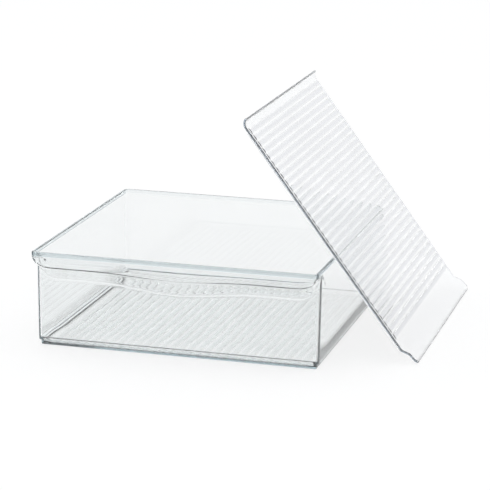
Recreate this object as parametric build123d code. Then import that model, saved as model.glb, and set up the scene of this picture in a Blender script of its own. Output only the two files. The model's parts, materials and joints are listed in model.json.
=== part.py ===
from build123d import *
import math
import os

# Clear moulded fridge bin: an open tray with a flared front pull, and a loose
# ribbed lid that leans on the tray's right rim with its front lip on the table.
# Origin: centre of the tray's flat foot. +X right, +Y to the back, +Z up, in mm.

# ---- tray: overall sizes ------------------------------------------------------
RIM_WIDTH = 310.0
RIM_DEPTH = 300.0
RIM_HEIGHT = 106.0
WALL = 2.5
RIM_CORNER_RADIUS = 7.5
PULL_CORNER_RADIUS = 6.0

# ---- tray: rim bead and drafted walls, insets measured from the rim's outline ---
BEAD_HEIGHT = 4.5
BEAD_EDGE_RADIUS = 1.2
SIDE_INSET_AT_RIM = 0.6
SIDE_INSET_AT_SHOULDER = 1.6
FRONT_INSET_AT_RIM = 0.4
FRONT_INSET_AT_SHOULDER = 0.8

# ---- tray: stepped foot and ridged floor ----------------------------------------
SHOULDER_HEIGHT = 5.4
FOOT_STEP = 2.6
FOOT_EDGE_RADIUS = 1.6
SHOULDER_EDGE_RADIUS = 1.4
FLOOR_RIDGE_COUNT = 29
FLOOR_RIDGE_PITCH = 9.7
FLOOR_RIDGE_WIDTH = 8.8
FLOOR_RIDGE_HEIGHT = 0.9
FLOOR_RIDGE_END_GAP = 5.0

# ---- tray: front pull, as reach forward of the wall and drop below the rim --------
PULL_REACH = 15.5
PULL_BULGE = (17.0, 9.5)
PULL_BEND = (13.8, 17.5)
PULL_CREASE_DROP = 32.0
PULL_MIDDLE_DIP = 7.5
PULL_DIP_HALF_LENGTH = 88.0
PULL_DIP_STEPS = 3
PULL_END_RADIUS = 22.0
PULL_ROOT_DEPTH = 9.0

# ---- lid: sizes in its own frame, lying flat --------------------------------------
# X runs across it, Y from the front lip to the rear curl, and Z = 0 is its upper face.
LID_WIDTH = 312.8
LID_LENGTH = 309.5
LID_THICKNESS = 2.4
LIP_LENGTH = 11.6
LIP_RISE = 1.3
STEP_LENGTH = 8.0
STEP_RISE = 5.0
STEP_BEND_RADIUS = 3.5
LIP_CORNER_RADIUS = 5.0
CURL_RADIUS = 8.5
CURL_ANGLE = 62.0
FLANGE_DEPTH = 3.6
FLANGE_THICKNESS = 1.2
LID_RIDGE_COUNT = 33
LID_RIDGE_PITCH = 8.17
LID_RIDGE_WIDTH = 7.2
LID_RIDGE_HEIGHT = 0.9
LID_RIDGE_START = 35.5
LID_RIDGE_SIDE_MARGIN = 4.0

# ---- lid: how it leans against the right rim ----------------------------------------
LEAN_TILT = 52.8
LEAN_TURN = 0.35
LEAN_NEAR_EDGE_Y = -95.0
LEAN_CLEARANCE = 0.4


def rim_outline(side_inset, front_inset, z, radius):
    """The rim's rectangle at height z, drawn in at the sides and rear, and at the front."""
    width = RIM_WIDTH - 2 * side_inset
    depth = RIM_DEPTH - side_inset - front_inset
    return Pos(0, (front_inset - side_inset) / 2, z) * RectangleRounded(width, depth, radius)


def drafted_block(extra, z_low, z_high):
    """Block between two heights that follows the walls' draft, drawn in by extra."""
    sections = []
    for z in (z_low, z_high):
        share = (z - SHOULDER_HEIGHT) / (RIM_HEIGHT - SHOULDER_HEIGHT)
        side = SIDE_INSET_AT_SHOULDER + share * (SIDE_INSET_AT_RIM - SIDE_INSET_AT_SHOULDER)
        front = FRONT_INSET_AT_SHOULDER + share * (FRONT_INSET_AT_RIM - FRONT_INSET_AT_SHOULDER)
        radius = RIM_CORNER_RADIUS - side - extra
        sections.append(rim_outline(side + extra, front + extra, z, radius))
    return loft(sections, ruled=True)


def crease_drop(x):
    """Drop below the rim of the line where the pull's underside meets the front wall."""
    if abs(x) >= PULL_DIP_HALF_LENGTH:
        return PULL_CREASE_DROP
    swell = (1 + math.cos(math.pi * x / PULL_DIP_HALF_LENGTH)) / 2
    return PULL_CREASE_DROP + PULL_MIDDLE_DIP * swell


def pull_section(x, shrink):
    """Section through the pull at x, its outer outline drawn in by shrink."""
    top = 0.0 if shrink == 0 else 1.0
    crease = crease_drop(x) - 0.5 * shrink
    outline = [
        (-PULL_ROOT_DEPTH, -top),
        (PULL_REACH - shrink, -top),
        (PULL_BULGE[0] - shrink, PULL_BULGE[1]),
        (PULL_BEND[0] - shrink, PULL_BEND[1] - 0.4 * shrink),
        (-shrink, crease),
        (-PULL_ROOT_DEPTH, crease),
    ]
    points = [(x, -RIM_DEPTH / 2 - reach, RIM_HEIGHT - drop) for reach, drop in outline]
    return make_face(Polyline(points, close=True))


def pull_block(shrink):
    """The pull as a block, with rounded lower ends and rounded corners in plan."""
    half = RIM_WIDTH / 2
    step = PULL_DIP_HALF_LENGTH / PULL_DIP_STEPS
    dip = [step * index for index in range(-PULL_DIP_STEPS, PULL_DIP_STEPS + 1)]
    flare = loft([pull_section(x, shrink) for x in [-half, *dip, half]], ruled=True)
    width = RIM_WIDTH - 2 * shrink
    plan = RectangleRounded(width, RIM_DEPTH + 2 * (PULL_BULGE[0] - shrink), PULL_CORNER_RADIUS - shrink)
    front = RectangleRounded(width, 2 * (PULL_CREASE_DROP + PULL_MIDDLE_DIP), PULL_END_RADIUS - shrink)
    plan_prism = extrude(plan, amount=2 * RIM_HEIGHT)
    front_prism = extrude(Plane.XZ * Pos(0, RIM_HEIGHT) * front, amount=RIM_DEPTH)
    return flare & plan_prism & front_prism


def ridge(width, height, length):
    """A round-topped ridge along Y, centred on the origin, its flat side just under z = 0."""
    sink = 0.3
    arc = ThreePointArc((-width / 2, -sink), (0, height), (width / 2, -sink))
    base = Line((width / 2, -sink), (-width / 2, -sink))
    return extrude(Plane.XZ * make_face([arc, base]), amount=length / 2, both=True)


def build_tray():
    """The tray as one moulding."""
    foot_side = SIDE_INSET_AT_SHOULDER + FOOT_STEP
    foot_front = FRONT_INSET_AT_SHOULDER + FOOT_STEP
    foot_radius = RIM_CORNER_RADIUS - SIDE_INSET_AT_SHOULDER

    walls = drafted_block(0, SHOULDER_HEIGHT, RIM_HEIGHT)
    walls = fillet(walls.edges().group_by(Axis.Z)[0], SHOULDER_EDGE_RADIUS)
    foot = extrude(rim_outline(foot_side, foot_front, 0, foot_radius), amount=SHOULDER_HEIGHT + WALL)
    foot = fillet(foot.edges().group_by(Axis.Z)[0], FOOT_EDGE_RADIUS)
    bead_outline = rim_outline(0, -PULL_REACH, RIM_HEIGHT - BEAD_HEIGHT, PULL_CORNER_RADIUS)
    bead = extrude(bead_outline, amount=BEAD_HEIGHT)
    bead = fillet(bead.edges().group_by(Axis.Z)[-1], BEAD_EDGE_RADIUS)
    solid = walls + foot + bead + pull_block(0)

    cavity = drafted_block(WALL, SHOULDER_HEIGHT + WALL, RIM_HEIGHT + WALL)
    well = rim_outline(foot_side + WALL, foot_front + WALL, WALL, foot_radius - WALL)
    cavity += extrude(well, amount=SHOULDER_HEIGHT + WALL)
    tray = solid - cavity - pull_block(WALL)

    ridge_length = RIM_DEPTH - 2 * (foot_side + WALL + FLOOR_RIDGE_END_GAP)
    floor_ridge = ridge(FLOOR_RIDGE_WIDTH, FLOOR_RIDGE_HEIGHT, ridge_length)
    middle = (FLOOR_RIDGE_COUNT - 1) / 2
    for index in range(FLOOR_RIDGE_COUNT):
        tray += Pos((index - middle) * FLOOR_RIDGE_PITCH, 0, WALL) * floor_ridge
    return tray


def lid_side_view():
    """The lid seen from its side, as a face whose X is the lid's Y and whose Y is its Z."""
    centre = -LID_THICKNESS / 2
    curl_run = CURL_RADIUS * math.sin(math.radians(CURL_ANGLE))
    curl_start = (LID_LENGTH - curl_run, centre)
    front = FilletPolyline(
        (0, centre + STEP_RISE + LIP_RISE),
        (LIP_LENGTH, centre + STEP_RISE),
        (LIP_LENGTH + STEP_LENGTH, centre),
        curl_start,
        radius=STEP_BEND_RADIUS,
    )
    curl = JernArc(curl_start, (1, 0), CURL_RADIUS, CURL_ANGLE)
    return trace([front, curl], LID_THICKNESS)


def build_lid():
    """The lid as one moulding, lying flat, with its lip tip at y = 0."""
    sheet = extrude(Plane.YZ * lid_side_view(), amount=LID_WIDTH / 2, both=True)
    plan = Pos(0, LID_LENGTH / 2, 0) * RectangleRounded(LID_WIDTH, LID_LENGTH + LID_THICKNESS, LIP_CORNER_RADIUS)
    lid = sheet & extrude(plan, amount=2 * CURL_RADIUS, both=True)

    flange_start = LIP_LENGTH + STEP_LENGTH
    flange_length = LID_LENGTH - CURL_RADIUS - flange_start
    flange_x = (LID_WIDTH - FLANGE_THICKNESS) / 2
    flange = extrude(Rectangle(FLANGE_THICKNESS, flange_length), amount=LID_THICKNESS / 2 - FLANGE_DEPTH)
    for side in (-1, 1):
        lid += Pos(side * flange_x, flange_start + flange_length / 2, -LID_THICKNESS / 2) * flange

    ridge_across = Rot(0, 0, 90) * ridge(LID_RIDGE_WIDTH, LID_RIDGE_HEIGHT, LID_WIDTH - 2 * LID_RIDGE_SIDE_MARGIN)
    for index in range(LID_RIDGE_COUNT):
        lid += Pos(0, LID_RIDGE_START + index * LID_RIDGE_PITCH, 0) * ridge_across
    return lid


def lean(lid):
    """Move the flat lid to where it leans, lip on the table and underside near the right rim."""
    tilt = math.radians(LEAN_TILT)
    turn = math.radians(LEAN_TURN)
    across = Vector(-math.sin(turn), math.cos(turn), 0)
    outward = Vector(math.sin(tilt) * math.cos(turn), math.sin(tilt) * math.sin(turn), math.cos(tilt))
    slope = math.atan2(LIP_RISE, LIP_LENGTH)
    tip_y = -LID_THICKNESS / 2 * math.sin(slope)
    tip_height = STEP_RISE + LIP_RISE - LID_THICKNESS / 2 * (1 + math.cos(slope))
    rim_to_foot = (RIM_HEIGHT * math.cos(tilt) + FLANGE_DEPTH + tip_height + LEAN_CLEARANCE) / math.sin(tilt)
    foot_x = RIM_WIDTH / 2 + rim_to_foot
    near_corner = Vector(foot_x, LEAN_NEAR_EDGE_Y, 0)
    uphill = outward.cross(across)
    origin = near_corner + across * (LID_WIDTH / 2) - outward * tip_height - uphill * tip_y
    return Plane(origin, x_dir=across, z_dir=outward).location * lid


os.makedirs("parts", exist_ok=True)
export_step(build_tray(), "parts/bin_tray.step")
export_step(lean(build_lid()), "parts/ribbed_lid.step")
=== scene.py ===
"""Clear fridge bin with its ribbed lid leaning on the right rim: finished meshes, plastics and studio."""

import json
import logging
import math
from dataclasses import dataclass, field
from enum import Enum
from typing import Callable

import bmesh
import bpy
import numpy as np
from mathutils import Matrix, Vector


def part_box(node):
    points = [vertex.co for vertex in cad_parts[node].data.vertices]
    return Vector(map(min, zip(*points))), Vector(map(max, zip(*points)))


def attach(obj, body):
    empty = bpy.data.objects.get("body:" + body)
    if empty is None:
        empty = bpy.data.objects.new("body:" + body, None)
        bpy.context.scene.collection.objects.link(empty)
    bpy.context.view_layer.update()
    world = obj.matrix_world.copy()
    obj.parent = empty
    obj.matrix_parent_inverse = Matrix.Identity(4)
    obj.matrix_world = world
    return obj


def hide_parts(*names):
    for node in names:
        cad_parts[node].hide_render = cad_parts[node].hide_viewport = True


MM = 0.001
# Mesh attributes that say where the painted shade goes: on the ridges, and on the rims, foot and flanges.
RIDGE_SHADE_LAYER = "ridge"
EDGE_SHADE_LAYER = "edge_shade"
MIX_COLOUR_SOCKETS = (0, 6, 7)
MIX_COLOUR_RESULT = 2
LIP_ROUND_STEPS = 5
REAR_POINTS = 6

Colour = tuple[float, float, float, float]
Point = tuple[float, float, float]
Pair = tuple[float, float]

log = logging.getLogger("fridge_bin")

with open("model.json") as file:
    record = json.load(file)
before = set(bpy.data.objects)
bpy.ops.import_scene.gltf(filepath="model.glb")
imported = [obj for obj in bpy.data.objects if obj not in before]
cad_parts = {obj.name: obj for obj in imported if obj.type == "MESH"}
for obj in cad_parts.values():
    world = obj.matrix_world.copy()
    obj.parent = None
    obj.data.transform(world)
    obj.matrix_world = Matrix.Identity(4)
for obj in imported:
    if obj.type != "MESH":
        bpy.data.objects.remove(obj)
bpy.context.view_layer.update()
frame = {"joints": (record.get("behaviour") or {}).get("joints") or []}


class Body(Enum):
    """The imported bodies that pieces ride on."""

    TRAY = "tray"
    LID = "lid"


class Slot(Enum):
    """The record's material slots."""

    TRAY = "clear_tray"
    LID = "clear_lid"


def smooth_step(value: float) -> float:
    """Ease a 0 to 1 value so that it starts and ends level."""
    value = min(max(value, 0.0), 1.0)
    return value * value * (3 - 2 * value)


def spaced(low: float, high: float, count: int) -> list[float]:
    """Evenly spaced values from low to high, both included."""
    return [float(value) for value in np.linspace(low, high, count)]


# ---- finishes ------------------------------------------------------------------------


@dataclass(frozen=True)
class ClearPlastic:
    """A polished clear moulding, with a faint tint through its thickness.

    Attributes:
        name: material name.
        surface_tint: colour that each surface passes on.
        body_tint: colour that the plastic turns through its thickness.
        density: how fast it turns that colour, per metre.
        painted_edge_shade: painted shade on the rims, the foot and the flanges, multiplied into the colour
            that passes.
        painted_ridge_shade: painted shade on the ridges, multiplied into the colour that passes.
        roughness: haze of the polish at its clearest.
        haze: extra roughness where handling has dulled it.
        dull_range: how strong a handling mark is where the dulling starts and where it is full.
        clarity: share of the light that passes instead of scattering at the surface.
        ior: index of refraction.
        flow_scale: how close the moulding's flow marks lie.
        flow_detail: how many finer sizes the flow marks have.
        flow_lift: how much clearer the surface is on a flow mark.
        flow_range: how strong a flow mark is where the lift starts and where it is full.
        mark_scale: how close the handling marks lie.
        mark_detail: how many finer sizes the handling marks have.
    """

    name: str
    surface_tint: Colour
    body_tint: Colour
    density: float
    painted_edge_shade: Colour
    painted_ridge_shade: Colour
    roughness: float = 0.0
    haze: float = 0.02
    dull_range: Pair = (0.35, 0.75)
    clarity: float = 0.95
    ior: float = 1.49
    flow_scale: float = 16.0
    flow_detail: float = 2.0
    flow_lift: float = 1.012
    flow_range: Pair = (0.3, 0.7)
    mark_scale: float = 420.0
    mark_detail: float = 4.0

    def make(self) -> bpy.types.Material:
        """Build the node material.

        Returns:
            The finished material.
        """
        material = bpy.data.materials.new(self.name)
        material.use_nodes = True
        tree = material.node_tree
        nodes, links = tree.nodes, tree.links
        nodes.clear()
        output = nodes.new("ShaderNodeOutputMaterial")
        shader = nodes.new("ShaderNodeBsdfPrincipled")
        shader.inputs["IOR"].default_value = self.ior
        shader.inputs["Transmission Weight"].default_value = self.clarity
        links.new(shader.outputs["BSDF"], output.inputs["Surface"])
        flow = self.noise(tree, self.flow_scale, self.flow_detail)
        marks = self.noise(tree, self.mark_scale, self.mark_detail)
        links.new(self.polish(tree, marks), shader.inputs["Roughness"])
        links.new(self.passed(tree, flow), shader.inputs["Base Color"])

        inside = nodes.new("ShaderNodeVolumeAbsorption")
        inside.inputs["Color"].default_value = self.body_tint
        inside.inputs["Density"].default_value = self.density
        links.new(inside.outputs["Volume"], output.inputs["Volume"])
        return material

    def noise(self, tree: bpy.types.NodeTree, scale: float, detail: float) -> bpy.types.NodeSocket:
        """Add noise that stays with the piece.

        Args:
            tree: the material's nodes.
            scale: how close the noise lies.
            detail: how many finer sizes it has.

        Returns:
            The noise's value.
        """
        place = tree.nodes.new("ShaderNodeTexCoord")
        texture = tree.nodes.new("ShaderNodeTexNoise")
        texture.inputs["Scale"].default_value = scale
        texture.inputs["Detail"].default_value = detail
        tree.links.new(place.outputs["Object"], texture.inputs["Vector"])
        return texture.outputs["Fac"]

    def polish(self, tree: bpy.types.NodeTree, marks: bpy.types.NodeSocket) -> bpy.types.NodeSocket:
        """Add the polish, duller where the moulding has been handled.

        Args:
            tree: the material's nodes.
            marks: how strong the handling marks are.

        Returns:
            The roughness.
        """
        spread = tree.nodes.new("ShaderNodeMapRange")
        spread.inputs["From Min"].default_value = self.dull_range[0]
        spread.inputs["From Max"].default_value = self.dull_range[1]
        spread.inputs["To Min"].default_value = self.roughness
        spread.inputs["To Max"].default_value = self.roughness + self.haze
        tree.links.new(marks, spread.inputs["Value"])
        return spread.outputs["Result"]

    def passed(self, tree: bpy.types.NodeTree, flow: bpy.types.NodeSocket) -> bpy.types.NodeSocket:
        """Add the colour that the surface passes on, with painted shade on the ridges, the rims, the foot and
        the flanges.

        Args:
            tree: the material's nodes.
            flow: how strong the flow marks are.

        Returns:
            The colour.
        """
        ramp = tree.nodes.new("ShaderNodeValToRGB")
        lifted = tuple(min(c * self.flow_lift, 1.0) for c in self.surface_tint[:3]) + (1.0,)
        for stop, place, colour in zip(ramp.color_ramp.elements, self.flow_range, (self.surface_tint, lifted)):
            stop.position = place
            stop.color = colour
        tree.links.new(flow, ramp.inputs["Fac"])
        passed = ramp.outputs["Color"]
        # Painted shade: each attribute multiplies its shade colour into the passed colour.
        for layer, tint in ((RIDGE_SHADE_LAYER, self.painted_ridge_shade), (EDGE_SHADE_LAYER, self.painted_edge_shade)):
            shade_mask = tree.nodes.new("ShaderNodeAttribute")
            shade_mask.attribute_name = layer
            through = tree.nodes.new("ShaderNodeMix")
            through.data_type = "RGBA"
            through.blend_type = "MULTIPLY"
            share, plain, shade_colour_socket = (through.inputs[i] for i in MIX_COLOUR_SOCKETS)
            shade_colour_socket.default_value = tint
            tree.links.new(shade_mask.outputs["Fac"], share)
            tree.links.new(passed, plain)
            passed = through.outputs[MIX_COLOUR_RESULT]
        return passed


TRAY_PLASTIC = ClearPlastic(
    name="tray_clear_plastic",
    surface_tint=(0.975, 0.985, 0.985, 1.0),
    body_tint=(0.45, 0.62, 0.68, 1.0),
    density=5.0,
    # Painted shade on the bead and the foot, and on the floor's ridges.
    painted_edge_shade=(0.62, 0.70, 0.73, 1.0),
    painted_ridge_shade=(0.80, 0.82, 0.82, 1.0),
)
LID_PLASTIC = ClearPlastic(
    name="lid_clear_plastic",
    surface_tint=(0.965, 0.972, 0.98, 1.0),
    body_tint=(0.45, 0.56, 0.66, 1.0),
    density=4.0,
    # Painted shade on the side flanges and along the ridges.
    painted_edge_shade=(0.88, 0.90, 0.92, 1.0),
    painted_ridge_shade=(0.72, 0.725, 0.75, 1.0),
)


@dataclass(frozen=True)
class StudioPaper:
    """The plain pale sheet that the bin stands on, lit softly from below.

    Attributes:
        name: material name.
        colour: the paper's own colour.
        glow: strength of the light that comes through it.
        roughness: how matt it is.
        tooth_scale: how close its grain lies.
        tooth_height: height of the grain, in metres.
    """

    name: str = "studio_paper"
    colour: Colour = (0.28, 0.28, 0.28, 1.0)
    glow: float = 0.76
    roughness: float = 0.75
    tooth_scale: float = 900.0
    tooth_height: float = 0.00002

    def make(self) -> bpy.types.Material:
        """Build the matt paper with a faint tooth.

        Returns:
            The finished material.
        """
        material = bpy.data.materials.new(self.name)
        material.use_nodes = True
        nodes, links = material.node_tree.nodes, material.node_tree.links
        shader = nodes["Principled BSDF"]
        shader.inputs["Base Color"].default_value = self.colour
        shader.inputs["Roughness"].default_value = self.roughness
        shader.inputs["Specular IOR Level"].default_value = 0.0
        shader.inputs["Emission Color"].default_value = (1.0, 1.0, 1.0, 1.0)
        shader.inputs["Emission Strength"].default_value = self.glow
        tooth = nodes.new("ShaderNodeTexNoise")
        tooth.inputs["Scale"].default_value = self.tooth_scale
        bump = nodes.new("ShaderNodeBump")
        bump.inputs["Distance"].default_value = self.tooth_height
        links.new(tooth.outputs["Fac"], bump.inputs["Height"])
        links.new(bump.outputs["Normal"], shader.inputs["Normal"])
        return material


# ---- mesh helpers ----------------------------------------------------------------------


@dataclass
class Shell:
    """Collects points and faces, in millimetres, and makes one closed mesh of them.

    Attributes:
        points: the points.
        faces: each face's points, by index.
        ridge: how much painted shade each point takes on the ridges, 0 to 1.
        edge_shade: how much painted shade each point takes on the rims, the foot and the flanges, 0 to 1.
    """

    points: list[Point] = field(default_factory=list)
    faces: list[tuple[int, ...]] = field(default_factory=list)
    ridge: list[float] = field(default_factory=list)
    edge_shade: list[float] = field(default_factory=list)

    def add_row(
        self, row: list[Point], ridge: list[float] | None = None, edge_shade: list[float] | None = None
    ) -> list[int]:
        """Add a row of points.

        Args:
            row: the points, in order.
            ridge: how much painted shade each point takes on the ridges; none of them if left out.
            edge_shade: how much painted shade each point takes on the rims, the foot and the flanges; none of
                them if left out.

        Returns:
            The index of each point.
        """
        first = len(self.points)
        self.points.extend(row)
        self.ridge.extend(ridge or [0.0] * len(row))
        self.edge_shade.extend(edge_shade or [0.0] * len(row))
        return list(range(first, len(self.points)))

    def bridge(self, lower: list[int], upper: list[int], closed: bool) -> None:
        """Join two rows of the same length with four-sided faces.

        Args:
            lower: indices of one row.
            upper: indices of the next row.
            closed: whether the rows run all the way round.
        """
        count = len(lower)
        for index in range(count if closed else count - 1):
            after = (index + 1) % count
            self.faces.append((lower[index], lower[after], upper[after], upper[index]))

    def make(self, name: str) -> bpy.types.Object:
        """Make the object, with its faces turned outward and smoothly shaded.

        Args:
            name: the piece's name.

        Returns:
            The new object, linked to the scene.
        """
        mesh = bpy.data.meshes.new(name)
        mesh.from_pydata([tuple(MM * c for c in point) for point in self.points], [], self.faces)
        # The painted shade masks, kept as point attributes.
        for layer, values in ((RIDGE_SHADE_LAYER, self.ridge), (EDGE_SHADE_LAYER, self.edge_shade)):
            mesh.attributes.new(layer, "FLOAT", "POINT").data.foreach_set("value", values)
        loose = bmesh.new()
        loose.from_mesh(mesh)
        bmesh.ops.remove_doubles(loose, verts=loose.verts, dist=0.02 * MM)
        bmesh.ops.recalc_face_normals(loose, faces=loose.faces)
        loose.to_mesh(mesh)
        loose.free()
        piece = bpy.data.objects.new(name, mesh)
        bpy.context.scene.collection.objects.link(piece)
        mesh.shade_smooth()
        return piece


def arc(centre: Pair, radius: float, start: float, end: float, steps: int) -> list[Pair]:
    """Points on an arc.

    Args:
        centre: the arc's centre.
        radius: its radius.
        start: first angle, in degrees.
        end: last angle, in degrees.
        steps: number of points less one.

    Returns:
        The points from start to end.
    """
    angles = [math.radians(angle) for angle in spaced(start, end, steps + 1)]
    return [(centre[0] + radius * math.cos(a), centre[1] + radius * math.sin(a)) for a in angles]


# ---- the tray ----------------------------------------------------------------------------


def heading(angle: float) -> Pair:
    """Unit direction in plan at an angle in degrees, exact at the quarter turns."""
    turn = math.radians(angle)
    return (round(math.cos(turn), 12) + 0.0, round(math.sin(turn), 12) + 0.0)


@dataclass
class Column:
    """One upright strip of the tray's wall.

    Attributes:
        anchor: point in plan that the strip is measured from.
        normal: direction in plan that the strip faces.
        radius: distance from the anchor to the rim's outline.
        forward: how much of the pull's reach the strip takes, 0 to 1.
        spread: how far the strip is from the pull's ends along the side, 0 to 1.
    """

    anchor: Pair
    normal: Pair
    radius: float
    forward: float
    spread: float


@dataclass
class BinTray:
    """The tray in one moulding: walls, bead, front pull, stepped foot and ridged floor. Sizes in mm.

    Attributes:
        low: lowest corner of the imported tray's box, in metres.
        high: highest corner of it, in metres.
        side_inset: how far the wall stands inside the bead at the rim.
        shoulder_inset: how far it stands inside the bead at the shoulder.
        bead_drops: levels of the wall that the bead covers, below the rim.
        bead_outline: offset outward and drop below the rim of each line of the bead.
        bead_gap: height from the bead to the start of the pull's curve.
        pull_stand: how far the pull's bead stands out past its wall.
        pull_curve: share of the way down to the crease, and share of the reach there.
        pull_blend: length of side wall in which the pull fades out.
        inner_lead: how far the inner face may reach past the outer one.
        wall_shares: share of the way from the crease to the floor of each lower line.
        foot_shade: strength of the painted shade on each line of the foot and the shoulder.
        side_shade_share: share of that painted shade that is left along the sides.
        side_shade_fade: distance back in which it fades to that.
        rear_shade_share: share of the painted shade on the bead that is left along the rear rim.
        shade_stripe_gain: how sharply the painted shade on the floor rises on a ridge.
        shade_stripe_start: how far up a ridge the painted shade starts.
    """

    low: Vector
    high: Vector
    wall: float = 2.5
    corner_radius: float = 7.5
    front_corner_radius: float = 6.0
    corner_steps: int = 9
    side_inset: float = 0.6
    shoulder_inset: float = 1.6
    bead_height: float = 4.5
    bead_drops: tuple[float, ...] = (0.0, 1.2, 2.8)
    bead_outline: tuple[Pair, ...] = (
        (-0.55, 4.65),
        (-0.25, 4.5),
        (0.0, 4.1),
        (0.0, 2.85),
        (0.0, 1.2),
        (-0.36, 0.36),
        (-1.2, 0.0),
        (-2.4, 0.0),
        (-2.95, 0.2),
    )
    bead_gap: float = 0.4
    pull_reach: float = 15.5
    pull_stand: float = 1.5
    pull_end_radius: float = 23.0
    pull_blend: float = 30.0
    pull_curve: tuple[Pair, ...] = (
        (0.0, 1.0),
        (0.06, 1.04),
        (0.12, 1.07),
        (0.20, 1.095),
        (0.28, 1.09),
        (0.36, 1.055),
        (0.42, 1.01),
        (0.445, 0.98),
        (0.47, 0.93),
        (0.50, 0.88),
        (0.60, 0.70),
        (0.72, 0.485),
        (0.84, 0.27),
        (0.92, 0.13),
        (0.96, 0.065),
        (0.985, 0.02),
        (1.0, 0.0),
    )
    crease_drop: float = 32.0
    middle_dip: float = 7.5
    dip_half_length: float = 88.0
    inner_lead: float = 1.4
    wall_shares: tuple[float, ...] = (0.04, 0.12, 0.3, 0.55, 0.8, 1.0)
    shoulder_height: float = 5.4
    shoulder_radius: float = 1.6
    notch_radius: float = 1.0
    foot_step: float = 2.6
    foot_radius: float = 1.6
    foot_shade: tuple[float, ...] = (0.0, 0.0, 0.0, 0.0, 0.0, 0.5, 1.0, 1.0, 1.0, 1.0, 0.8, 0.3, 0.0)
    side_shade_share: float = 0.15
    side_shade_fade: float = 20.0
    rear_shade_share: float = 0.3
    inner_bend: float = 1.6
    ledge_round: float = 0.3
    ledge_drop: float = 1.2
    well_gap: float = 0.4
    ridge_count: int = 29
    ridge_pitch: float = 9.7
    ridge_width: float = 8.8
    ridge_height: float = 0.45
    ridge_end_fade: float = 5.0
    ridge_side_fade: float = 3.0
    shade_stripe_gain: float = 2.0
    shade_stripe_start: float = 0.6
    steps_per_ridge: int = 8
    front_steps: tuple[float, ...] = (1.5, 4.0, 8.0, 14.0)
    back_steps: tuple[float, ...] = (8.0, 4.0, 1.5, 0.0)
    middle_ends: Pair = (22.0, 16.0)
    middle_lines: int = 26

    def __post_init__(self) -> None:
        """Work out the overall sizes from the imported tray."""
        self.half_width = (self.high.x - self.low.x) / 2 / MM
        self.rim_height = self.high.z / MM
        self.back = self.high.y / MM
        self.front = self.low.y / MM + self.pull_reach + self.pull_stand
        self.foot_out = -(self.shoulder_inset + self.foot_step)
        self.well_out = self.foot_out - self.wall
        floor_out = self.well_out - self.inner_bend
        self.floor_half = self.half_width + floor_out
        self.floor_front = self.front - floor_out
        self.floor_back = self.back + floor_out

    def corner(self, anchor: Pair, start: float, radius: float, forward: float) -> list[Column]:
        """Strips of a quarter-round corner, from one wall's heading to the next one's."""
        angles = spaced(start, start + 90, self.corner_steps + 1)
        return [Column(anchor, heading(angle), radius, forward, 1 - forward) for angle in angles]

    def columns(self) -> list[Column]:
        """The wall's strips, anticlockwise from the front's left end.

        Returns:
            The strips, in order.
        """
        r, tight = self.corner_radius, self.front_corner_radius
        x_front, x_end = self.half_width - tight, self.half_width - r
        y_front, y_back = self.front + tight, self.back - r
        ridge_half = self.ridge_count * self.ridge_pitch / 2
        inner = spaced(-ridge_half, ridge_half, self.ridge_count * self.steps_per_ridge + 1)
        front_outer = spaced(-x_front, -ridge_half, 4)[:-1]
        back_outer = spaced(-x_end, -ridge_half, 4)[:-1]
        front = front_outer + inner + [-x for x in reversed(front_outer)]
        back = back_outer + inner + [-x for x in reversed(back_outer)]
        along = [y_front + step for step in self.front_steps]
        along += spaced(y_front + self.middle_ends[0], y_back - self.middle_ends[1], self.middle_lines)
        along += [y_back - step for step in self.back_steps]
        sides = [(y, min((y - y_front) / self.pull_blend, 1.0)) for y in along]

        made = [Column((x, y_front), (0.0, -1.0), tight, 1.0, 0.0) for x in front]
        made += self.corner((x_front, y_front), -90, tight, 1.0)[1:]
        made += [Column((x_end, y), (1.0, 0.0), r, 1 - s, s) for y, s in sides]
        made += self.corner((x_end, y_back), 0, r, 0.0)[1:]
        made += [Column((x, y_back), (0.0, 1.0), r, 0.0, 1.0) for x in reversed(back)][1:]
        made += self.corner((-x_end, y_back), 90, r, 0.0)[1:]
        made += [Column((-x_end, y), (-1.0, 0.0), r, 1 - s, s) for y, s in reversed(sides)][1:]
        made += self.corner((-x_front, y_front), 180, tight, 1.0)[:-1]
        return made

    def crease(self, x: float) -> float:
        """How far below the rim the pull's underside meets the front wall.

        Args:
            x: place along the front.

        Returns:
            The drop, least at the pull's rounded ends and most in its middle.
        """
        swell = 0.0
        if abs(x) < self.dip_half_length:
            swell = (1 + math.cos(math.pi * x / self.dip_half_length)) / 2
        drop = self.crease_drop + self.middle_dip * swell
        into_end = (abs(x) - (self.half_width - self.pull_end_radius)) / self.pull_end_radius
        if into_end > 0:
            drop *= math.sqrt(max(1 - into_end**2, 0.0))
        return drop

    def profile(self, column: Column) -> np.ndarray:
        """Reach and drop of a strip's outer face, from the rim down to above the foot.

        Args:
            column: the strip.

        Returns:
            One (reach, drop) pair for each level.
        """
        x = column.anchor[0] + column.radius * column.normal[0]
        start = self.bead_height + self.bead_gap
        low_end = max(self.crease(x), start + self.bead_gap)
        low_end += (self.crease_drop - low_end) * smooth_step(column.spread)
        pairs = [(self.pull_reach, drop) for drop in self.bead_drops]
        depth = low_end - start
        pairs += [(self.pull_reach * part, start + depth * share) for share, part in self.pull_curve]
        deepest = self.rim_height - self.shoulder_height - self.wall - self.inner_bend
        pairs += [(0.0, low_end + (deepest - low_end) * share) for share in self.wall_shares]
        made = np.array(pairs)
        made[:, 0] *= column.forward
        return made

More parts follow.
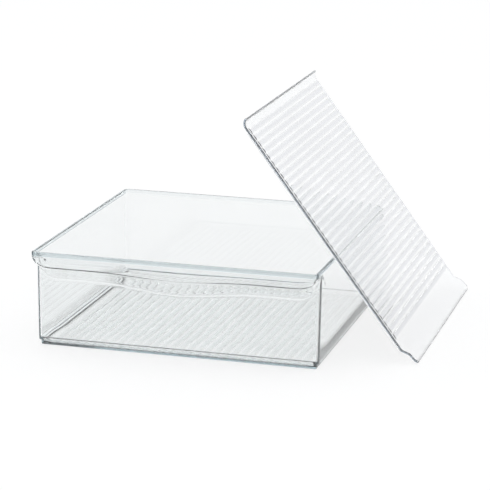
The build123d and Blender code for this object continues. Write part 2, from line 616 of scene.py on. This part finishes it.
    def inner_profile(self, column: Column) -> np.ndarray:
        """Reach and drop of a strip's inner face, one wall's thickness inside the outer face.

        Args:
            column: the strip.

        Returns:
            One (reach, drop) pair for each level.
        """
        outer = self.profile(column)
        if column.forward < 1:
            return outer
        slope = np.gradient(outer, axis=0)
        slope /= np.maximum(np.linalg.norm(slope, axis=1, keepdims=True), 1e-9)
        reach = outer[:, 0] + self.wall * (1 - slope[:, 1])
        drop = np.maximum.accumulate(outer[:, 1] + self.wall * slope[:, 0])
        reach[outer[:, 0] < 0.01] = 0.0
        reach = np.clip(reach, 0.0, self.pull_reach + self.inner_lead)
        return np.stack([reach, np.maximum(drop, 0.0)], axis=1)

    def wall_point(self, column: Column, drop: float, reach: float, inside: float = 0.0) -> Vector:
        """Point on a strip's face.

        Args:
            column: the strip.
            drop: distance below the rim.
            reach: distance moved toward the front for the pull.
            inside: distance inside the outer face.

        Returns:
            The point.
        """
        share = drop / (self.rim_height - self.shoulder_height)
        inset = self.side_inset + (self.shoulder_inset - self.side_inset) * share
        out = column.radius - inset - inside
        x = column.anchor[0] + out * column.normal[0]
        y = column.anchor[1] + out * column.normal[1] - reach
        return Vector((x, y, self.rim_height - drop))

    def ring(self, columns: list[Column], out: float, z: float, reach: float = 0.0) -> list[Vector]:
        """A level ring, offset from the rim's outline.

        Args:
            columns: the wall's strips.
            out: offset outward from the outline.
            z: height.
            reach: forward move for the strips of the pull.

        Returns:
            The ring's points.
        """
        made = []
        for column in columns:
            away = column.radius + out
            x = column.anchor[0] + away * column.normal[0]
            y = column.anchor[1] + away * column.normal[1] - reach * column.forward
            made.append(Vector((x, y, z)))
        return made

    def wall_rows(self, columns: list[Column], inside: bool) -> list[list[Vector]]:
        """The wall's outer or inner face as rows of points, from the rim down.

        Args:
            columns: the wall's strips.
            inside: whether it is the inner face.

        Returns:
            The rows.
        """
        depth = self.wall if inside else 0.0
        profiles = [self.inner_profile(c) if inside else self.profile(c) for c in columns]
        made = []
        for level in range(len(profiles[0])):
            row = []
            for column, profile in zip(columns, profiles):
                reach, drop = profile[level]
                row.append(self.wall_point(column, float(drop), float(reach), depth))
            made.append(row)
        return made

    def floor_height(self, x: float, y: float) -> float:
        """Height of the ridged floor at a point.

        Args:
            x: place across the tray.
            y: place back from its middle.

        Returns:
            The height above the table.
        """
        reach = self.ridge_count * self.ridge_pitch / 2
        if abs(x) > reach:
            return self.wall
        place = (x + reach) % self.ridge_pitch - self.ridge_pitch / 2
        across = max(1 - (2 * place / self.ridge_width) ** 2, 0.0)
        ends = smooth_step(min(y - self.floor_front, self.floor_back - y) / self.ridge_end_fade)
        sides = smooth_step((self.floor_half - abs(x)) / self.ridge_side_fade)
        return self.wall + self.ridge_height * across * ends * sides

    def cap(
        self, shell: Shell, ring: list[int], columns: list[Column], lift: Callable[[float, float], float]
    ) -> None:
        """Close a ring with a grid whose corners fan out to the ring's rounded corners.

        Args:
            shell: the mesh being built.
            ring: indices of the ring to close.
            columns: the wall's strips.
            lift: gives the cap's height at a point.
        """
        front = [i for i, c in enumerate(columns) if c.normal == (0.0, -1.0)]
        back = [i for i, c in enumerate(columns) if c.normal == (0.0, 1.0)]
        right = [i for i, c in enumerate(columns) if c.normal[0] == 1.0 and abs(c.normal[1]) < 1e-9]
        left = [i for i, c in enumerate(columns) if c.normal[0] == -1.0 and abs(c.normal[1]) < 1e-9]
        xs = [columns[i].anchor[0] for i in front]
        ys = [columns[i].anchor[1] for i in right]
        grid = []
        for y in ys:
            row = [(x, y, lift(x, y)) for x in xs]
            # Painted shade on the floor's ridges, from each point's height.
            grid.append(shell.add_row(row, ridge=[self.shade_stripe(z) for _, _, z in row]))
        for lower, upper in zip(grid, grid[1:]):
            shell.bridge(lower, upper, closed=False)
        shell.bridge([ring[i] for i in front], grid[0], closed=False)
        shell.bridge([ring[i] for i in right], [row[-1] for row in grid], closed=False)
        shell.bridge([ring[i] for i in back], list(reversed(grid[-1])), closed=False)
        shell.bridge([ring[i] for i in left], [row[0] for row in reversed(grid)], closed=False)
        count = len(columns)
        corners = (
            (front[-1], right[0], grid[0][-1]),
            (right[-1], back[0], grid[-1][-1]),
            (back[-1], left[0], grid[-1][0]),
            (left[-1], front[0] + count, grid[0][0]),
        )
        for start, end, centre in corners:
            for index in range(start, end):
                shell.faces.append((ring[index % count], ring[(index + 1) % count], centre))

    def shade_stripe(self, z: float) -> float:
        """How much painted shade a point of the ridged floor takes, rising with its height on a ridge, 0 to 1.
        """
        return smooth_step(self.shade_stripe_gain * (z - self.wall) / self.ridge_height - self.shade_stripe_start)

    def foot_shade_share(self, y: float) -> float:
        """How strong the painted shade round the foot is at a distance back, faint along the sides."""
        return self.side_shade_share + (1 - self.side_shade_share) * smooth_step(1 - (y - self.front) / self.side_shade_fade)

    def rim_shade_share(self, y: float) -> float:
        """How strong the painted shade on the bead is at a distance back, fading within two walls of the rear
        face.
        """
        return 1 - (1 - self.rear_shade_share) * smooth_step((y - self.back) / self.wall + 2)

    def foot_outline(self) -> list[Pair]:
        """The foot and the shoulder over it.

        Returns:
            Offset outward and height of each line, from the table up.
        """
        notch, round_over = self.notch_radius, self.shoulder_radius
        shoulder = (-self.shoulder_inset - round_over, self.shoulder_height + round_over)
        made = arc((self.foot_out - self.foot_radius, self.foot_radius), self.foot_radius, 270, 360, 4)
        made += arc((self.foot_out + notch, self.shoulder_height - notch), notch, 180, 90, 3)
        return made + arc(shoulder, round_over, 270, 360, 4)[1:]

    def bowl_outline(self) -> list[Pair]:
        """The inside, from the foot of the wall over the ledge and down the well to the floor.

        Returns:
            Offset outward and height of each line, from the wall down.
        """
        bend, well = self.inner_bend, self.well_out
        ledge = self.shoulder_height + self.wall
        made = arc((-(self.shoulder_inset + self.wall) - bend, ledge + bend), bend, 0, -90, 3)[1:]
        made += [(well + self.ledge_round, ledge - self.ledge_round), (well, ledge - self.ledge_drop)]
        made.append((well, self.wall + bend + self.well_gap))
        return made + arc((well - bend, self.wall + bend), bend, 0, -90, 4)

    def build(self) -> bpy.types.Object:
        """Build the tray's closed mesh, from the table up the outside and down the inside.

        Returns:
            The tray.
        """
        columns = self.columns()
        outer = self.wall_rows(columns, inside=False)
        inner = self.wall_rows(columns, inside=True)

        rings: list[tuple[list[Vector], list[float] | None]] = []
        # Painted shade round the foot and the shoulder, strongest at the front.
        for (out, z), line in zip(self.foot_outline(), self.foot_shade):
            ring = self.ring(columns, out, z)
            rings.append((ring, [line * self.foot_shade_share(point.y) for point in ring]))
        rings += [(row, None) for row in reversed(outer[len(self.bead_drops) :])]
        # Painted shade round the bead, fading at the rear.
        for out, drop in self.bead_outline:
            ring = self.ring(columns, out, self.rim_height - drop, self.pull_reach)
            rings.append((ring, [self.rim_shade_share(point.y) for point in ring]))
        rings += [(row, None) for row in inner[1:]]
        rings += [(self.ring(columns, out, z), None) for out, z in self.bowl_outline()]

        shell = Shell()
        rows = [shell.add_row([tuple(point) for point in ring], edge_shade=tint) for ring, tint in rings]
        for lower, upper in zip(rows, rows[1:]):
            shell.bridge(lower, upper, closed=True)
        self.cap(shell, rows[0], columns, lambda x, y: 0.0)
        self.cap(shell, rows[-1], columns, self.floor_height)
        return shell.make("clear_tray_moulding")

    def dress(self, piece: bpy.types.Object, finish: ClearPlastic) -> None:
        """Give the tray its plastic and tie it to its body.

        Args:
            piece: the tray.
            finish: its plastic.
        """
        piece.data.materials.append(finish.make())
        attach(piece, Body.TRAY.value)
        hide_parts("bin_tray")


# ---- the lid --------------------------------------------------------------------------------


@dataclass
class RibbedLid:
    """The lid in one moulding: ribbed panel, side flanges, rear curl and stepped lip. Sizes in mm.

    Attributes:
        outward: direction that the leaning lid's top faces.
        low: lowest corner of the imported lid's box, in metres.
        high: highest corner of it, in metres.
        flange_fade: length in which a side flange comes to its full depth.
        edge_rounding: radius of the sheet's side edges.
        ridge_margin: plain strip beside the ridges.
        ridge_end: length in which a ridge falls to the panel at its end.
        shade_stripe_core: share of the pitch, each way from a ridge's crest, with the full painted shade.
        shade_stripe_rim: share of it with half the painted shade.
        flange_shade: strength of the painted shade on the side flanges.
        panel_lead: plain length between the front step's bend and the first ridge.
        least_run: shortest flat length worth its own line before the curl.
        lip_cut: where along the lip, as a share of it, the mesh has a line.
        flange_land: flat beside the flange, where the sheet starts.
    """

    outward: Vector
    low: Vector
    high: Vector
    width: float = 312.8
    length: float = 309.5
    thickness: float = 2.4
    lip_length: float = 11.6
    lip_rise: float = 1.3
    step_length: float = 8.0
    step_rise: float = 5.0
    bend_radius: float = 3.5
    corner_radius: float = 5.0
    curl_radius: float = 8.5
    curl_angle: float = 62.0
    flange_depth: float = 3.6
    flange_thickness: float = 1.2
    ridge_count: int = 33
    ridge_pitch: float = 8.17
    ridge_width: float = 7.2
    ridge_height: float = 0.45
    ridge_start: float = 35.5
    ridge_margin: float = 4.0
    ridge_end: float = 0.6
    flange_fade: float = 2.5
    edge_rounding: float = 0.6
    shade_stripe_core: float = 0.2
    shade_stripe_rim: float = 0.3
    flange_shade: float = 0.6
    steps_per_ridge: int = 8
    edge_steps: tuple[float, ...] = (0.0, 0.15, 0.45, 0.9)
    margin_steps: tuple[float, ...] = (2.4, 3.4, 3.7, 4.0, 4.3, 5.8, 8.0)
    panel_margin: float = 16.0
    panel_lines: int = 15
    panel_lead: float = 2.0
    least_run: float = 0.5
    lip_cut: float = 0.35
    flange_land: float = 0.3

    def __post_init__(self) -> None:
        """Work out where the ridges start and end along the lid."""
        self.ribs_start = self.ridge_start - self.ridge_pitch / 2
        self.ribs_end = self.ribs_start + self.ridge_count * self.ridge_pitch

    def middle_line(self) -> list[Pair]:
        """The lid's middle line seen from its side, from lip tip to curl.

        Returns:
            Points of distance along the lid and height.
        """
        centre = -self.thickness / 2
        corners = [
            Vector((0, centre + self.step_rise + self.lip_rise)),
            Vector((self.lip_length, centre + self.step_rise)),
            Vector((self.lip_length + self.step_length, centre)),
            Vector((self.ridge_start, centre)),
        ]
        line: list[Pair] = [tuple(corners[0]), tuple(corners[0].lerp(corners[1], self.lip_cut))]
        for before, corner, after in zip(corners, corners[1:], corners[2:]):
            line += self.bend(before, corner, after)
        line.append((self.ribs_start - self.panel_lead, centre))
        cuts = self.ridge_count * self.steps_per_ridge
        line += [(y, centre) for y in spaced(self.ribs_start, self.ribs_end, cuts + 1)]
        curl_start = self.length - self.curl_radius * math.sin(math.radians(self.curl_angle))
        line += [(curl_start, centre)] if curl_start > line[-1][0] + self.least_run else []
        curl = arc((curl_start, centre + self.curl_radius), self.curl_radius, -90, self.curl_angle - 90, 8)
        return line + curl[1:]

    def bend(self, before: Vector, corner: Vector, after: Vector) -> list[Pair]:
        """Round a corner of the middle line.

        Args:
            before: the point before the corner.
            corner: the corner.
            after: the point after it.

        Returns:
            Points along the rounding.
        """
        came, goes = (corner - before).normalized(), (after - corner).normalized()
        turn = came.angle(goes)
        trim = self.bend_radius * math.tan(turn / 2)
        start, end = corner - came * trim, corner + goes * trim
        made = []
        for share in spaced(0, 1, 6):
            made.append(tuple(start.lerp(corner, share).lerp(corner.lerp(end, share), share)))
        return made

    def ridge(self, y: float, x: float) -> float:
        """Height of the ridges above the panel at a point.

        Args:
            y: place along the lid.
            x: place across it.

        Returns:
            The height.
        """
        if not self.ribs_start < y < self.ribs_end:
            return 0.0
        place = (y - self.ribs_start) % self.ridge_pitch - self.ridge_pitch / 2
        across = max(1 - (2 * place / self.ridge_width) ** 2, 0.0)
        inside = self.width / 2 - self.ridge_margin - abs(x)
        return self.ridge_height * across * smooth_step(inside / self.ridge_end + 0.5)

    def shade_stripe(self, y: float) -> float:
        """Whether a place along the lid lies under the painted shade of a ridge.

        Args:
            y: place along the lid.

        Returns:
            Share of the painted ridge shade there, 0 to 1.
        """
        if not self.ribs_start < y < self.ribs_end:
            return 0.0
        place = abs((y - self.ribs_start) / self.ridge_pitch % 1 - 0.5)
        return 1.0 if place < self.shade_stripe_core else 0.5 if place < self.shade_stripe_rim else 0.0

    def lines_across(self) -> list[float]:
        """Where the mesh is cut across the lid's width.

        Returns:
            Positions from one side to the other.
        """
        half = self.width / 2
        flange = (self.flange_thickness, self.flange_thickness + self.flange_land)
        left = [-half + step for step in self.edge_steps + flange + self.margin_steps]
        inner = spaced(-half + self.panel_margin, half - self.panel_margin, self.panel_lines)
        return left + inner + [-x for x in reversed(left)]

    def section(self, x: float) -> list[Pair]:
        """Closed outline of the lid's section at one place across it.

        Args:
            x: place across the lid.

        Returns:
            Points of distance along the lid and height, round the section.
        """
        line = self.middle_line()
        points = np.array(line)
        slope = np.gradient(points, axis=0)
        slope /= np.linalg.norm(slope, axis=1, keepdims=True)
        normal = np.stack([-slope[:, 1], slope[:, 0]], axis=1)
        from_side = self.width / 2 - abs(x)
        rounding = self.edge_rounding
        thin = 0.0
        if from_side < rounding:
            thin = rounding - math.sqrt(max(rounding**2 - (rounding - from_side) ** 2, 0.0))
        half = self.thickness / 2 - thin
        top = points + normal * half
        top[:, 1] += [self.ridge(y, x) for y, _ in line]
        bottom = points - normal * half
        if from_side <= self.flange_thickness + 0.01:
            start = self.lip_length + self.step_length
            end = self.length - self.curl_radius
            for index, (y, _) in enumerate(line):
                share = smooth_step((y - start) / self.flange_fade) * smooth_step((end - y) / self.flange_fade)
                bottom[index, 1] -= share * (self.flange_depth - self.thickness)
        tip = arc(line[0], half, 100, 260, LIP_ROUND_STEPS)[1:-1]
        end_angle = math.degrees(math.atan2(slope[-1][1], slope[-1][0]))
        rear = arc(line[-1], half, end_angle - 80, end_angle + 80, REAR_POINTS - 1)
        loop = [tuple(p) for p in reversed(top.tolist())] + tip + [tuple(p) for p in bottom.tolist()] + rear
        corner = self.corner_radius
        cut = 0.0
        if from_side < corner:
            cut = corner - math.sqrt(max(corner**2 - (corner - from_side) ** 2, 0.0))
        made = []
        for y, z in loop:
            if y < corner:
                y = cut + y * (corner - cut) / corner
            made.append((y, z))
        return made

    def build(self) -> bpy.types.Object:
        """Build the lid's closed mesh where it leans.

        Returns:
            The lid.
        """
        shell = Shell()
        rows = []
        # Painted shade: bands along the ridges, and a band down each side flange.
        marks = [self.shade_stripe(y) for y, _ in reversed(self.middle_line())]
        for x in self.lines_across():
            row = [(x, y, z) for y, z in self.section(x)]
            inside = abs(x) < self.width / 2 - self.ridge_margin
            ridge = [mark * inside for mark in marks] + [0.0] * (len(row) - len(marks))
            on_flange = self.width / 2 - abs(x) < self.flange_thickness
            rows.append(shell.add_row(row, ridge, [self.flange_shade * on_flange] * len(row)))
        for lower, upper in zip(rows, rows[1:]):
            shell.bridge(lower, upper, closed=True)
        count = len(self.middle_line())
        for row in (rows[0], rows[-1]):
            top = list(reversed(row[:count]))
            tip = row[count : -count - REAR_POINTS]
            bottom = row[-count - REAR_POINTS : -REAR_POINTS]
            rear = row[-REAR_POINTS:]
            shell.bridge(top, bottom, closed=False)
            shell.faces.append((top[0], *tip, bottom[0]))
            shell.faces.append((bottom[-1], *rear, top[-1]))
        piece = shell.make("ribbed_lid_moulding")
        self.lean(piece)
        return piece

    def lean(self, piece: bpy.types.Object) -> None:
        """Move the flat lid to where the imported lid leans.

        Args:
            piece: the lid, lying flat.
        """
        outward = self.outward.normalized()
        across = Vector((-outward.y, outward.x, 0)).normalized()
        uphill = outward.cross(across)
        turn = Matrix((across, uphill, outward)).transposed()
        piece.data.transform(turn.to_4x4())
        co = np.array([v.co for v in piece.data.vertices])
        made_low, made_high = Vector(co.min(0)), Vector(co.max(0))
        shift = (self.low + self.high) / 2 - (made_low + made_high) / 2
        shift.z = self.low.z - made_low.z
        piece.data.transform(Matrix.Translation(shift))

    def dress(self, piece: bpy.types.Object, finish: ClearPlastic) -> None:
        """Give the lid its plastic and tie it to its body.

        Args:
            piece: the lid.
            finish: its plastic.
        """
        piece.data.materials.append(finish.make())
        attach(piece, Body.LID.value)
        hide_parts("ribbed_lid")


# ---- the studio ----------------------------------------------------------------------------------


@dataclass
class Studio:
    """Pale floor, soft light and the camera.

    Attributes:
        yaw: turn of the camera to the left, in degrees.
        pitch: tilt of it downward, in degrees.
        roll: lean of it, in degrees.
        position: where it stands, in mm.
        focal: lens length, in the unit of frame_width.
        frame_width: width of the frame, in the unit of focal.
        sensor: width of the sensor, in mm.
        floor_size: side of the floor, in metres.
        floor_drop: how far the floor lies under the bin, in metres.
        card_colour: light from the cards toward the front.
        wall_colour: light from the white wall behind.
        card_range: where the cards end and where the wall is at its full brightness.
        sky_strength: strength of the light from all round.
        lamp_size: side of the overhead softbox, in metres.
        lamp_energy: its power, in watts.
        lamp_place: where it hangs, in metres.
    """

    yaw: float = 15.23
    pitch: float = 14.21
    roll: float = 0.743
    position: Point = (668.96, -2335.59, 701.27)
    focal: float = 2280.34
    frame_width: float = 490.0
    sensor: float = 36.0
    floor_size: float = 14.0
    floor_drop: float = 0.0002
    card_colour: Colour = (0.42, 0.45, 0.48, 1.0)
    wall_colour: Colour = (1.0, 1.0, 1.0, 1.0)
    card_range: Pair = (0.18, 0.62)
    sky_strength: float = 1.06
    lamp_size: float = 2.4
    lamp_energy: float = 6.0
    lamp_place: Point = (-0.5, -0.2, 2.4)

    def lay_floor(self) -> None:
        """Lay the pale sheet, flat under the bin."""
        half, z = self.floor_size / 2, -self.floor_drop
        mesh = bpy.data.meshes.new("studio_floor")
        corners = [(-half, -half, z), (half, -half, z), (half, half, z), (-half, half, z)]
        mesh.from_pydata(corners, [], [(0, 1, 2, 3)])
        mesh.materials.append(StudioPaper().make())
        floor = bpy.data.objects.new("studio_floor", mesh)
        bpy.context.scene.collection.objects.link(floor)

    def light(self) -> None:
        """Light the bin from all round, with darker cards toward the front, and from overhead."""
        world = bpy.data.worlds.new("studio_light")
        bpy.context.scene.world = world
        world.use_nodes = True
        nodes, links = world.node_tree.nodes, world.node_tree.links
        background = nodes["Background"]
        background.inputs["Strength"].default_value = self.sky_strength
        place = nodes.new("ShaderNodeTexCoord")
        split = nodes.new("ShaderNodeSeparateXYZ")
        links.new(place.outputs["Generated"], split.inputs["Vector"])
        backward = nodes.new("ShaderNodeMath")
        backward.operation = "MULTIPLY_ADD"
        backward.inputs[1].default_value = 0.5
        backward.inputs[2].default_value = 0.5
        links.new(split.outputs["Y"], backward.inputs[0])
        ramp = nodes.new("ShaderNodeValToRGB")
        colours = (self.card_colour, self.wall_colour)
        for stop, share, colour in zip(ramp.color_ramp.elements, self.card_range, colours):
            stop.position = share
            stop.color = colour
        links.new(backward.outputs["Value"], ramp.inputs["Fac"])
        links.new(ramp.outputs["Color"], background.inputs["Color"])

        lamp = bpy.data.lights.new("overhead_softbox", "AREA")
        lamp.shape = "RECTANGLE"
        lamp.size, lamp.size_y = self.lamp_size, self.lamp_size
        lamp.energy = self.lamp_energy
        box = bpy.data.objects.new("overhead_softbox", lamp)
        box.location = self.lamp_place
        box.rotation_euler = (-box.location).to_track_quat("-Z", "Y").to_euler()
        bpy.context.scene.collection.objects.link(box)

    def place_camera(self) -> None:
        """Place the camera with a long lens, a little above the rim."""
        data = bpy.data.cameras.new("studio_camera")
        data.sensor_width = self.sensor
        data.lens = self.focal / self.frame_width * self.sensor
        data.clip_end = 50.0
        camera = bpy.data.objects.new("studio_camera", data)
        yaw, pitch, roll = (math.radians(angle) for angle in (self.yaw, self.pitch, self.roll))
        ahead = Vector((-math.sin(yaw) * math.cos(pitch), math.cos(yaw) * math.cos(pitch), -math.sin(pitch)))
        level = Vector((math.cos(yaw), math.sin(yaw), 0))
        above = level.cross(ahead)
        right = math.cos(roll) * level + math.sin(roll) * above
        up = -math.sin(roll) * level + math.cos(roll) * above
        turn = Matrix((right, up, -ahead)).transposed()
        camera.matrix_world = Matrix.Translation(Vector(self.position) * MM) @ turn.to_4x4()
        bpy.context.scene.collection.objects.link(camera)
        bpy.context.scene.camera = camera

    def set_looks(self) -> None:
        """Plain colours and enough light bounces for thick clear walls."""
        scene = bpy.context.scene
        scene.view_settings.view_transform = "Standard"
        scene.view_settings.look = "None"
        scene.cycles.max_bounces = 64
        scene.cycles.transmission_bounces = 64
        scene.cycles.transparent_max_bounces = 32
        scene.cycles.glossy_bounces = 32


def main() -> None:
    """Build the two mouldings and the studio, in order."""
    logging.basicConfig(level=logging.INFO, format="%(name)s: %(message)s")
    tray = BinTray(*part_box("bin_tray"))
    tray_piece = tray.build()
    tray.dress(tray_piece, TRAY_PLASTIC)
    log.info("%s: %d faces", tray_piece.name, len(tray_piece.data.polygons))

    joint = frame["joints"][0]
    lid = RibbedLid(Vector(joint["axis"]), *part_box("ribbed_lid"))
    lid_piece = lid.build()
    lid.dress(lid_piece, LID_PLASTIC)
    log.info("%s: %d faces", lid_piece.name, len(lid_piece.data.polygons))

    studio = Studio()
    studio.lay_floor()
    studio.light()
    studio.place_camera()
    studio.set_looks()
    log.info("studio: floor, light and camera in place")


if __name__ == "__main__":
    main()
